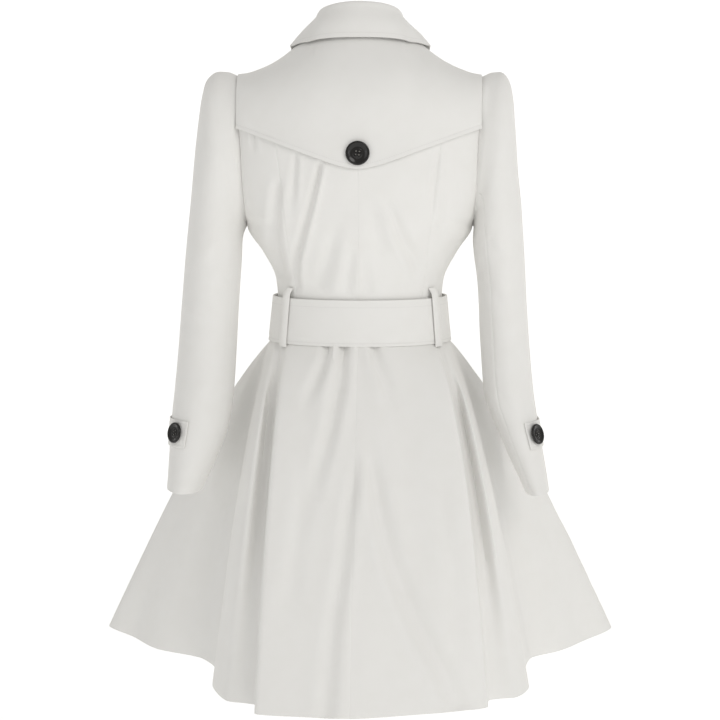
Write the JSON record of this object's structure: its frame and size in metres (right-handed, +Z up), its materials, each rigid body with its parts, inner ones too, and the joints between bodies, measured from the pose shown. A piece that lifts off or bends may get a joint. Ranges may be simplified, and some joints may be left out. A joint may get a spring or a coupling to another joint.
{
  "type": "fit and flare coat",
  "caption": "Ivory wool fit and flare coat, filled out with no wearer: princess-line bodice, puffed sleeves, storm flap, collar, belt and a pleated flared skirt.",
  "frame": {"origin": "level of the neck point on the coat's middle plane, between the shoulders that hold it", "axes": "+Z up, +Y out of the coat's back, +X towards the wearer's left"},
  "size_m": [0.784, 0.601, 0.9816],
  "materials": {
    "ivory_wool": "brushed, matt",
    "black_button": "gloss"
  },
  "bodies": {
    "root": {"back_centre_left": "ivory_wool", "back_centre_right": "ivory_wool", "back_side_left": "ivory_wool", "back_side_right": "ivory_wool", "front_left": "ivory_wool", "front_right": "ivory_wool", "sleeve_top_left": "ivory_wool", "sleeve_top_right": "ivory_wool", "sleeve_under_left": "ivory_wool", "sleeve_under_right": "ivory_wool", "cuff_tab_left": "ivory_wool", "cuff_tab_right": "ivory_wool", "skirt_back_left": "ivory_wool", "skirt_back_right": "ivory_wool", "skirt_pleat_left": "ivory_wool", "skirt_pleat_right": "ivory_wool", "skirt_side_left": "ivory_wool", "skirt_side_right": "ivory_wool", "skirt_front_left": "ivory_wool", "skirt_front_right": "ivory_wool", "belt_loop_left": "ivory_wool", "belt_loop_right": "ivory_wool", "collar_stand": "ivory_wool", "collar_fall": "ivory_wool", "storm_flap": "ivory_wool", "belt": "ivory_wool", "cuff_button_left": "black_button", "cuff_button_right": "black_button", "flap_button": "black_button", "belt_button": "black_button", "front_button_1": "black_button", "front_button_2": "black_button", "front_button_3": "black_button"}
  },
  "joints": []
}
